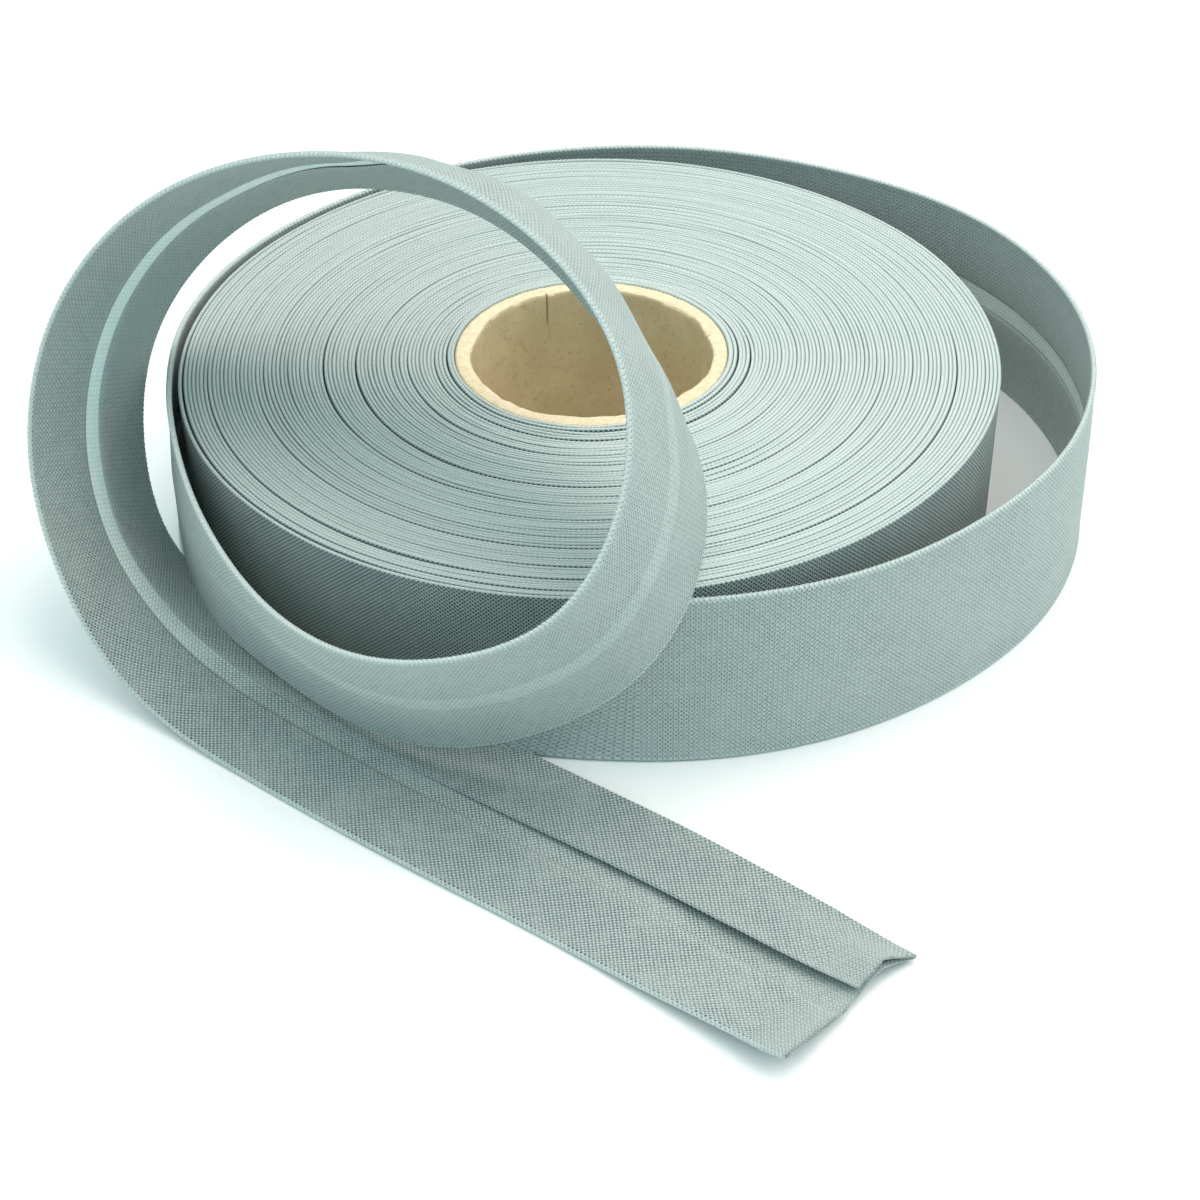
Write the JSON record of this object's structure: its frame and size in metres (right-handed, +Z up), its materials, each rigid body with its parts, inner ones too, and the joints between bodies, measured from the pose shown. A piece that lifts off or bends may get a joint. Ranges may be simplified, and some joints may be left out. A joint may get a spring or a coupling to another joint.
{
  "type": "bias binding roll",
  "caption": "Folded cotton bias binding wound on a cardboard core, lying flat, its outer turn loose and its end looped over and laid out in front.",
  "frame": {"origin": "middle of the base of the bounding box, on the surface the roll lies on", "axes": "+Z up along the roll's axis, -Y towards the laid-out end, +X towards the side where the outer turn stands away"},
  "size_m": [0.169, 0.2052, 0.0819],
  "materials": {
    "cotton_binding": "matt plain-weave cotton cut on the bias, pale grey green",
    "kraft_cardboard": "matt brown spiral-wound board"
  },
  "bodies": {
    "root": {"core_tube": "kraft_cardboard", "wound_roll": "cotton_binding", "loose_binding": "cotton_binding"}
  },
  "joints": []
}
